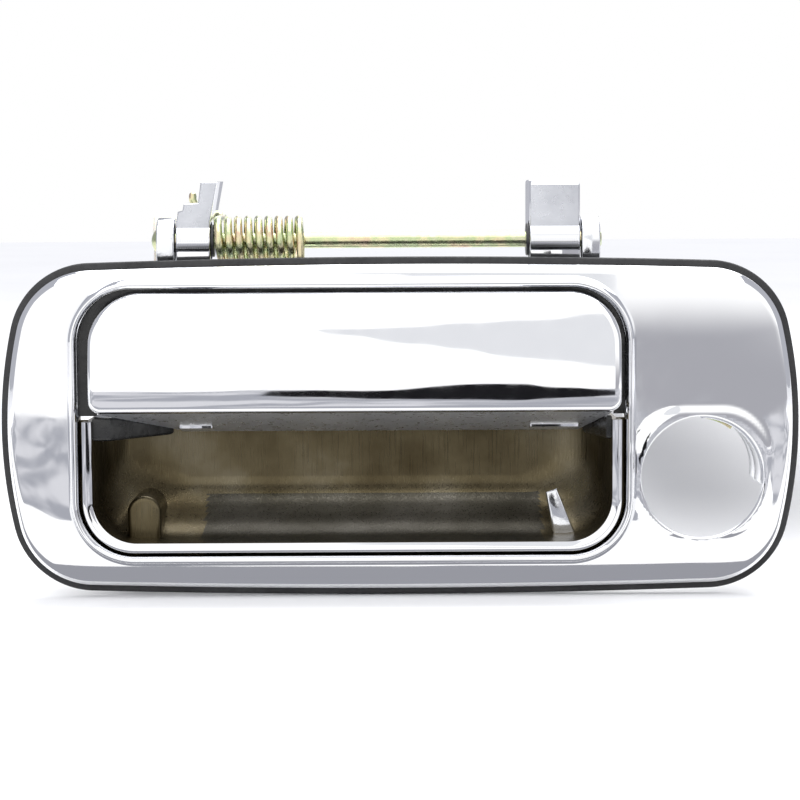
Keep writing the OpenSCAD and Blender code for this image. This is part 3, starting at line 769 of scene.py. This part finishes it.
mid_z, right_x, left_x = 19.0, PADDLE_X[1] - 14, PADDLE_X[0] + 14
spine = np.concatenate([
    np.full((SIDE + CORNER, 2), (right_x, mid_z)), line((right_x, mid_z), (left_x, mid_z), LONG),
    np.full((CORNER + SIDE + CORNER, 2), (left_x, mid_z)), line((left_x, mid_z), (right_x, mid_z), LONG),
    np.full((CORNER, 2), (right_x, mid_z))])
rows = []
for share in np.linspace(1, 0, 26)[:-1]:
    ring = share * spine + (1 - share) * grip_ring(1.3)
    rows.append((ring, grip_y(ring[:, 1])))
for a in np.linspace(math.pi / 2, 0, 9):
    ring = grip_ring(1.3 * (1 - math.cos(a)))
    rows.append((ring, grip_y(ring[:, 1]) + 1.6 * (1 - math.sin(a))))
skirt = grip_ring(0)
hem = np.interp(skirt[:, 1], [22, 30], [-4.6, EDGE_Y * -1 + SKIN])
rows += [(skirt, hem - 0.2), (grip_ring(0.2), hem), (grip_ring(SKIN - 0.2), hem), (grip_ring(SKIN), hem - 0.2)]
for share in np.linspace(0, 1, 14):
    ring = share * spine + (1 - share) * grip_ring(SKIN)
    rows.append((ring, np.minimum(grip_y(ring[:, 1]) + SKIN, hem - 0.25)))
shell = sheet(np.stack([np.insert(ring, 1, y, axis=1) for ring, y in rows]), wrap_cols=True)
grip = piece("paddle_grip", [shell], chrome, ["paddle"], "paddle_body", sharp=50)
second_finish(grip, dull_back, lambda centre, normal: normal[:, 1] > 0.3)

# %% [markdown]
# Behind the grip a sloping flange takes the fingers, and two arms carry the grip up to the hinge. The hubs were
# turned with a tool that chattered, which left two rows of fine marks across them.

# %% Flange, arms, hubs and levers
LEFT_HUB, RIGHT_HUB, HUB_R = (-55.9, -47.3), (32.7, 45.3), 5.2
plan = [(-74.4, -11.6), (52.3, -11.6), (51.7, -8), (45.3, 12), (-54, 12), (-72.9, -8)]
points, faces = plate(plan, 0, 1, "z", edge=0.0, steps=1)
run = np.clip((points[:, 1] + 11.5) / 23.5, 0, 1)
points[:, 2] = 4.7 - 7.1 * run + points[:, 2] * (1.8 - 0.2 * run)
flange = (points, faces)


def arm(xs):
    """An arm between two x values: a flat bar from the flange up to the hub."""
    side = [(5.0, -0.9), (12.0, -2.4), (13.0, 4.0), (13.2, 40), (13.6, 46.2), (4.4, 46.2), (4.6, 40), (5.0, 34)]
    return plate(side, *xs, edge=0.5)

# %% Hubs
def hub(xs):
    """A cylinder whose radius dips by a fine wave along it, only in two narrow bands of angle at the front."""
    x = np.linspace(xs[0], xs[1], int((xs[1] - xs[0]) / 0.054))
    a = np.linspace(0, 2 * np.pi, 144, endpoint=False)
    up = np.degrees(np.pi - a)[None]
    bands = np.exp(-((up - 4) / 6.5) ** 4) + np.exp(-((up + 14) / 6.5) ** 4)
    ripple = 0.5 + 0.5 * np.sin(2 * np.pi * x[:, None] / 0.43 + np.where(up > -5, 0, np.pi))
    round_end = 0.4 - np.sqrt(np.maximum(0.16 - np.maximum(0.4 - np.minimum(x - xs[0], xs[1] - x), 0) ** 2, 0))
    r = HUB_R - 0.09 * bands * ripple - round_end[:, None]
    tubes = place(PIN[0] + r * np.cos(a), PIN[1] + r * np.sin(a), x[:, None], "x")
    ends = np.full((1, len(a), 3), (xs[0], *PIN)), np.full((1, len(a), 3), (xs[1], *PIN))
    return sheet(np.concatenate([ends[0], tubes, ends[1]]), wrap_cols=True)

# %% Levers
steps_up = [(-55.9, 43.5), (-55.9, 50.8), (-55.4, 53.6), (-54.2, 53.9), (-53.9, 55.6), (-50.3, 55.8), (-49.6, 61),
            (-45.4, 61), (-47.3, 51), (-47.3, 43.5)]
block = [(5, 48.2), (5.4, 60), (7, 61), (25.4, 61), (26.4, 60), (26.4, 45.5), (24.4, 43.5), (13.2, 43.5)]
paddle_cast = [flange, arm(LEFT_HUB), arm(RIGHT_HUB), plate(steps_up, 5, 26.4, "y", edge=0.5),
               plate(block, *RIGHT_HUB, edge=0.6)]
levers = piece("paddle_flange_arms_and_levers", paddle_cast, chrome, (), "paddle_body")


def sawn(centre, normal):
    """The levers' fronts, and what looks forwards or down at the flange."""
    low = centre[:, 2] < 5
    return (low | (centre[:, 2] > 45)) & (normal[:, 1] + normal[:, 2] * low < -0.7)


def unpolished(centre, normal):
    """Everything that looks backwards, and the top of the flange."""
    return (normal[:, 1] > 0.5) | (normal[:, 2] > 0.8) & (centre[:, 2] < 20)


second_finish(levers, sawn_face, sawn)
second_finish(levers, dull_back, unpolished)
piece("paddle_hubs", [hub(LEFT_HUB), hub(RIGHT_HUB)], chrome, (), "paddle_body", sharp=80)

# %% [markdown]
# ## Hinge
# One long pin with a formed head runs through lugs, hubs and bushes. The return spring is a single wire: it starts
# behind the latch lever, winds round the pin and ends against the upstand.

# %% Pin, bushes and spring
pin = lathe([(0, -61.2), (1.98, -61.2), (1.98, 50.6), (1.7, 50.9), (0, 50.9)], PIN)
a = np.radians(np.linspace(37, 90, 10))
dome = [(0, -60.8), (3.19, -60.8), (3.19, -60.85)]
dome += [(4 * math.cos(b), -60.8 + 2.4 - 4 * math.sin(b)) for b in a[1:]]
piece("hinge_pin_rod", [pin, lathe(dome, PIN)], yellow_zinc, ["hinge_pin"])


def bush(plain_x, flange_x):
    """A sleeve with a thin flange at one end, drawn as one closed section."""
    s = math.copysign(1, flange_x - plain_x)
    section = [(2.05, plain_x), (3.0, plain_x), (3.08, plain_x + 0.1 * s), (3.08, flange_x), (3.95, flange_x)]
    section += [(r, flange_x + w * s) for r, w in ((4.1, 0.15), (4.1, 0.65), (3.95, 0.8), (2.05, 0.8))]
    return [lathe(section, PIN, hollow=True)]


piece("left_bush", bush(*LEFT_HUB), bush_plastic, ["left_hub_bush"], "paddle_body")
piece("right_bush", bush(*RIGHT_HUB[::-1]), bush_plastic, ["right_hub_bush"], "paddle_body")

COIL_X0, COIL_R, PITCH, TURNS, WIRE_R = -45.7, 5.3, 2.55, 8.25, 1.0
a = np.radians(np.arange(90, 90 + TURNS * 360 + 1, 10))
coil = np.stack([COIL_X0 + PITCH * (a - a[0]) / (2 * np.pi),
                 PIN[0] + COIL_R * np.cos(a), PIN[1] + COIL_R * np.sin(a)], -1)
upper_leg = [(-53.5, 27.7, 58.2), (-53.5, 27.7, 57.2), (-53.5, 27.7, 56.3), (-52.9, 27.7, 55.1), (-51.4, 27.7, 54.2),
             (-48, 27.7, 52.9), (-46.6, 27.6, 52.3), (-45.7, 27.0, 51.8), (-45.5, 25.7, 51.6), (-45.5, 20, 51.5),
             (-45.6, 14, 51.5)]
lower_leg = [(coil[-1, 0], 3.7, z) for z in (44.5, 42, 39, 36.9)]
wire = tube(np.concatenate([upper_leg, coil, lower_leg]), WIRE_R)
spring = piece("return_spring_wire", [wire], yellow_zinc, ["return_spring"], ride=False)
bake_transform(spring)

# %% [markdown]
# ## Small hardware
# The fixing bolts screw into threaded inserts, the cup is held by pan-head screws, a flat clip holds the lock, and
# a nylon clip snaps into the lever and grips the latch rod.

# %% Inserts, screws and clips
turns = np.arange(-1.0, 7.4, 0.4)
thread = np.stack([2.5 + 0.25 * (np.arange(len(turns)) % 2), turns], -1).tolist()
insert = [(0, -2), (3.88, -2), (3.88, 7.8), (3.7, 8), (2.8, 8), (2.5, 7.6), *thread[::-1], (2.5, -1), (0, -1)]
piece("bolt_inserts", [lathe(insert, spot, "y", 48) for spot in BOSSES], steel, ["thread_inserts"])

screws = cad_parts["cup_screws"].data
screws.materials.clear()
screws.materials.append(steel)

clip = np.concatenate([sweep(LOCK, 19.2, 50, 84, 16), sweep(LOCK, 13.6, 84, 50, 16)])
piece("lock_clip_plate", [plate(clip, 5.45, 6.35, "y", edge=0.2)], yellow_zinc, ["lock_clip"])

ROD_PIVOT = np.array([22.5, 48.2])
body_profile = [(19.2, 40.2), (25.8, 40.2), (25.8, 48.2), (19.2, 48.2)]
clip_parts = [lathe([(0, -63), (3.9, -63), (4.35, -62.5), (4.35, -56.7), (3.9, -56.2), (0, -56.2)], ROD_PIVOT, n=48),
              lathe([(0, -56.3), (2.45, -56.3), (2.45, -48.4), (2.0, -47.7), (0, -47.7)], ROD_PIVOT, n=40),
              plate(body_profile, -63, -56.2, edge=0.6)]
piece("latch_rod_clip", clip_parts, nylon, ["rod_clip"], "rod_clip_body")

# %% [markdown]
# ## Studio
# A mirror shows the room, so the room is built for it: a pale floor, soft overhead light, and cards that only
# reflections see. White cards make the bright bands, grey ones shape the crown, and one dark card gives
# the grip its dark streak.

# %% Floor
GROUND = -0.0424
floor_finish = finish("pale_floor", (0.9, 0.9, 0.9), roughness=0.6)
vary(floor_finish, pattern(floor_finish, 6, detail=3), "Base Color",
     [(0.3, (0.89, 0.89, 0.89)), (0.7, (0.92, 0.92, 0.915))])
floor_mesh = bpy.data.meshes.new("floor")
floor_corners = [(-3, -3, GROUND), (3, -3, GROUND), (3, 3, GROUND), (-3, 3, GROUND)]
floor_mesh.from_pydata(floor_corners, [], [(0, 1, 2, 3)])
floor_mesh.materials.append(floor_finish)
floor_object = bpy.data.objects.new("floor", floor_mesh)
bpy.context.scene.collection.objects.link(floor_object)
print("floor at", GROUND, "m")

# %% [markdown]
# ### Cards
# The front wall is white on the left and fades to lavender grey on the right, where the bezel's flat side looks at
# it. The near strips on the floor shade the bezel's lower edge band by band. The dark card reaches from the floor up
# the wall, so the grip shows it as a lens. One more card, behind, only casts shade where the lock hole looks.

# %% Making a card
def glow(name, colour, strength, far=None, wave=0.0, rise=None):
    """An emitting finish. Its colour may drift to a second one by a soft pattern, or between two heights."""
    made = bpy.data.materials.new(name)
    made.use_nodes = True
    tree = made.node_tree
    tree.nodes.clear()
    out = tree.nodes.new("ShaderNodeOutputMaterial")
    light = tree.nodes.new("ShaderNodeEmission")
    light.inputs["Color"].default_value = (*colour, 1)
    light.inputs["Strength"].default_value = strength
    tree.links.new(light.outputs["Emission"], out.inputs["Surface"])
    if far:
        where = tree.nodes.new("ShaderNodeTexCoord")
        ramp = tree.nodes.new("ShaderNodeValToRGB")
        ramp.color_ramp.interpolation = "EASE"
        first, last = ramp.color_ramp.elements
        first.color, last.color = (*colour, 1), (*far, 1)
        if rise:
            split = tree.nodes.new("ShaderNodeSeparateXYZ")
            share = tree.nodes.new("ShaderNodeMapRange")
            share.inputs["From Min"].default_value, share.inputs["From Max"].default_value = rise
            tree.links.new(where.outputs["Object"], split.inputs["Vector"])
            tree.links.new(split.outputs["Z"], share.inputs["Value"])
            tree.links.new(share.outputs["Result"], ramp.inputs["Fac"])
        else:
            noise = tree.nodes.new("ShaderNodeTexNoise")
            noise.inputs["Scale"].default_value = wave
            noise.inputs["Detail"].default_value = 2
            noise.inputs["Distortion"].default_value = 1.6
            first.position, last.position = 0.42, 0.6
            tree.links.new(where.outputs["Object"], noise.inputs["Vector"])
            tree.links.new(noise.outputs["Fac"], ramp.inputs["Fac"])
        tree.links.new(ramp.outputs["Color"], light.inputs["Color"])
    return made


def card(name, corners, lit):
    """A flat card that only mirror reflections see."""
    mesh = bpy.data.meshes.new(name)
    mesh.from_pydata(corners, [], [tuple(range(len(corners)))])
    mesh.materials.append(lit)
    made = bpy.data.objects.new(name, mesh)
    bpy.context.scene.collection.objects.link(made)
    for ray in ("camera", "diffuse", "shadow", "transmission", "volume_scatter"):
        setattr(made, f"visible_{ray}", False)
    return made


def upright(x0, x1, z0, z1, y):
    """Corners of a rectangle that stands across the view."""
    return [(x0, y, z0), (x1, y, z0), (x1, y, z1), (x0, y, z1)]


def on_floor(outline, lift=0.001):
    """Corners of a card that lies just over the floor, from (x, y) pairs."""
    return [(x, y, GROUND + lift) for x, y in outline]


def level_patch(x0, x1, y0, y1, lift=0.001):
    """Corners of a level rectangle over the floor."""
    return on_floor([(x0, y0), (x1, y0), (x1, y1), (x0, y1)], lift)

# %% The cards
FRONT, SIDE_X, REACH_X, NEAR_X = -0.43, 0.097, 0.9, 0.5
white = glow("card_white", (1, 1, 1), 1.25)
faded = glow("card_faded", (0.36, 0.36, 0.39), 1.25, far=(1, 1, 1), rise=(-0.01, 0.16))
wedge = glow("card_wedge", (0.88, 0.89, 0.92), 1.0)
mat = glow("card_mat", (0.44, 0.45, 0.5), 1.0, far=(0.8, 0.8, 0.84), wave=9)
grey = glow("card_grey", (0.36, 0.365, 0.4), 1.0)
dark = glow("card_dark", (0.012, 0.012, 0.014), 1.0)
card("left_white", upright(-REACH_X, SIDE_X, GROUND, 0.5, FRONT), white)
card("front_faded", upright(SIDE_X, REACH_X, GROUND, 0.5, FRONT), faded)
before_wall = [(-0.033, 0.225), (0.095, 0.062), (0.1, 0.28)]
card("front_wedge", [(x, FRONT + 0.004, z) for x, z in before_wall], wedge)
for name, y0, y1, lit in (("near_mat", FRONT, -0.1, mat), ("near_white", -0.1, -0.019, white),
                          ("near_grey", -0.019, -0.0052, grey)):
    card(name, level_patch(-NEAR_X, NEAR_X, y0, y1), lit)
lens = [(-0.048, -0.272), (-0.012, -0.238), (0.04, -0.212), (0.066, -0.235), (0.082, -0.286), (0.082, FRONT),
        (-0.022, FRONT), (-0.05, -0.38)]
card("lens_floor", on_floor(lens, 0.002), dark)
lens_up = [(-0.012, GROUND), (0.082, GROUND), (0.05, -0.01), (0.024, -0.012)]
card("lens_front", [(x, FRONT + 0.002, z) for x, z in lens_up], dark)
shade = card("lock_shade", level_patch(0.062, 0.15, 0.1, 0.52, lift=0.085), dark)
shade.visible_shadow, shade.visible_diffuse, shade.visible_glossy = True, True, False

# %% [markdown]
# ### Lights and sky
# Three wide area lights and a very soft sun light the dull pieces and whiten the floor. The world is grey to mirrors
# and white to the camera, so the backdrop stays white while the chrome keeps its contrast.

# %% Lights
def softbox(name, place_at, size, power):
    """A rectangular area light that looks at the handle."""
    lamp = bpy.data.lights.new(name, "AREA")
    lamp.shape = "RECTANGLE"
    lamp.size, lamp.size_y = size
    lamp.energy = power
    made = bpy.data.objects.new(name, lamp)
    made.location = place_at
    made.rotation_mode = "QUATERNION"
    made.rotation_quaternion = (-Vector(place_at)).to_track_quat("-Z", "Y")
    bpy.context.scene.collection.objects.link(made)


sun = bpy.data.objects.new("sky_light", bpy.data.lights.new("sky_light", "SUN"))
sun.data.energy = 1.9
sun.data.angle = math.radians(50)
sun.rotation_euler = (math.radians(-22), math.radians(8), 0)
bpy.context.scene.collection.objects.link(sun)
softbox("overhead", (0, -0.25, 0.75), (1.2, 0.7), 5.0)
softbox("front_fill", (-0.2, -0.95, 0.4), (0.9, 0.5), 3.0)
softbox("rear_fill", (0.3, 1.0, 0.5), (1.0, 0.6), 2.5)

# %% Sky
world = bpy.data.worlds.new("room")
bpy.context.scene.world = world
world.use_nodes = True
tree = world.node_tree
tree.nodes.clear()
room = tree.nodes.new("ShaderNodeBackground")
room.inputs["Color"].default_value = (0.5, 0.51, 0.56, 1)
backdrop = tree.nodes.new("ShaderNodeBackground")
backdrop.inputs["Color"].default_value = (1, 1, 1, 1)
seen = tree.nodes.new("ShaderNodeLightPath")
mixed = tree.nodes.new("ShaderNodeMixShader")
out = tree.nodes.new("ShaderNodeOutputWorld")
tree.links.new(seen.outputs["Is Camera Ray"], mixed.inputs["Fac"])
tree.links.new(room.outputs["Background"], mixed.inputs[1])
tree.links.new(backdrop.outputs["Background"], mixed.inputs[2])
tree.links.new(mixed.outputs["Shader"], out.inputs["Surface"])
